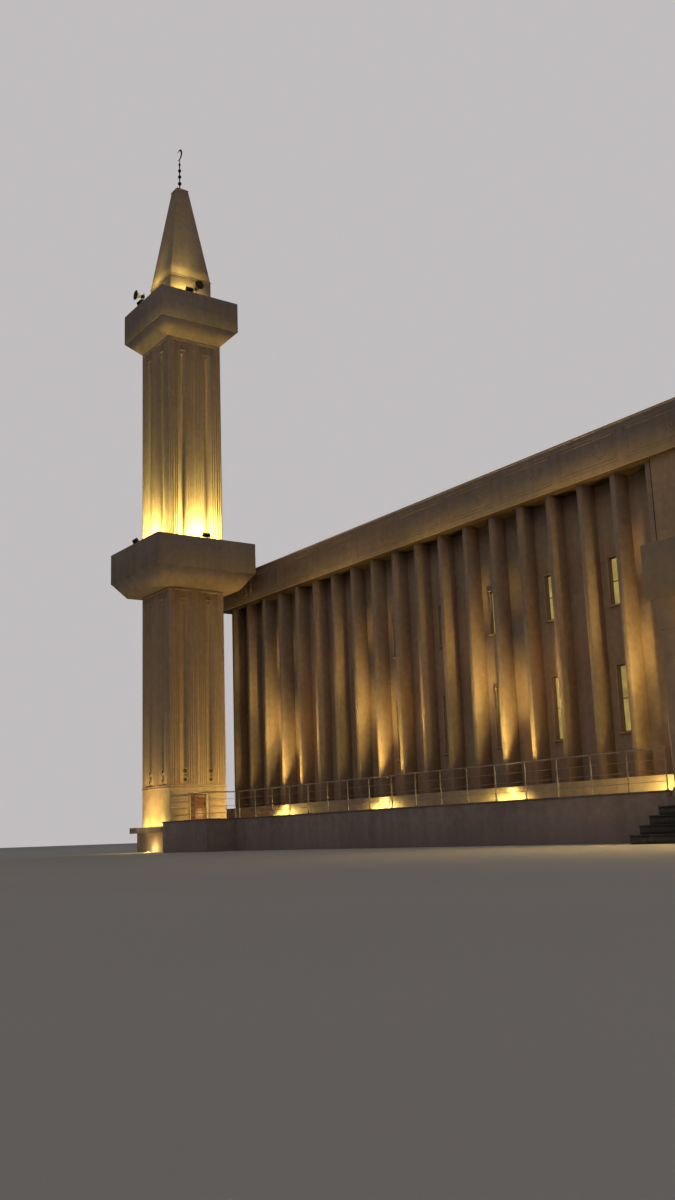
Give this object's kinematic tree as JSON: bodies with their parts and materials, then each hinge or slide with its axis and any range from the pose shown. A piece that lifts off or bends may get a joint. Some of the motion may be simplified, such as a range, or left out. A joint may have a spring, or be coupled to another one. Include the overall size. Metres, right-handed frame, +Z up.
{
  "type": "half-scale model of a mosque building with one minaret",
  "caption": "Ribbed rectangular prayer hall on a raised terrace with a railing, entrance canopy and steps, and a square minaret with galleries, spire and finial. Scale model at 1:2.",
  "frame": {"origin": "on the ground under the middle of the whole outline", "axes": "+X along the front from the minaret end, +Y into the hall from the front, +Z up"},
  "size_m": [29.529, 13.67, 14.72],
  "materials": {
    "sandstone_render": "matt",
    "fascia_render": "matt",
    "terrace_render": "matt",
    "concrete": "matt",
    "step_stone": "honed",
    "rail_metal": "satin",
    "dark_metal": "satin",
    "horn_paint": "satin",
    "door_wood": "oiled",
    "frame_paint": "painted",
    "window_glass": "clear"
  },
  "bodies": {
    "building": {"back_wall_glass_lower": "window_glass", "back_wall_glass_upper": "window_glass", "back_wall_left": "sandstone_render", "back_wall_right": "sandstone_render", "canopy": "fascia_render", "column_left": "sandstone_render", "column_right": "sandstone_render", "entrance_door_frame": "frame_paint", "entrance_door_left": "door_wood", "entrance_door_right": "door_wood", "entrance_landing": "terrace_render", "entrance_sill": "step_stone", "entrance_steps": "step_stone", "finial": "dark_metal", "front_wall_left": "sandstone_render", "front_wall_left_glass_lower": "window_glass", "front_wall_left_glass_upper": "window_glass", "front_wall_right": "sandstone_render", "front_wall_right_glass_lower": "window_glass", "front_wall_right_glass_upper": "window_glass", "hall_floor": "concrete", "left_end_wall": "sandstone_render", "left_end_wall_glass_lower": "window_glass", "left_end_wall_glass_upper": "window_glass", "loudspeaker_back": "horn_paint", "loudspeaker_front": "horn_paint", "loudspeaker_left": "horn_paint", "loudspeaker_right": "horn_paint", "lower_gallery": "fascia_render", "minaret_base_back": "sandstone_render", "minaret_base_beside_hinge": "sandstone_render", "minaret_base_beside_latch": "sandstone_render", "minaret_base_front": "sandstone_render", "minaret_base_left": "sandstone_render", "minaret_base_over_door": "sandstone_render", "minaret_door_frame": "frame_paint", "minaret_pedestal": "sandstone_render", "minaret_shaft_lower": "sandstone_render", "minaret_shaft_upper": "sandstone_render", "parapet_back": "fascia_render", "parapet_front": "fascia_render", "parapet_left": "fascia_render", "parapet_right": "fascia_render", "portal_wall_head": "sandstone_render", "portal_wall_left": "sandstone_render", "portal_wall_right": "sandstone_render", "railing_left": "rail_metal", "railing_platform": "rail_metal", "railing_right": "rail_metal", "right_end_wall": "sandstone_render", "right_end_wall_glass_lower": "window_glass", "right_end_wall_glass_upper": "window_glass", "roof_slab": "concrete", "spire": "sandstone_render", "spire_cap": "sandstone_render", "spire_drum": "sandstone_render", "terrace_left": "terrace_render", "terrace_right": "terrace_render", "upper_gallery": "fascia_render"},
    "door_leaf": {"minaret_door": "door_wood"}
  },
  "joints": [
    {"name": "minaret_door_swing", "type": "hinge", "parent": "building", "child": "door_leaf", "pos_m": [-13.118, -5.6265, 0.45], "axis": [0, 0, -1], "range_deg": [0, 90]}
  ]
}
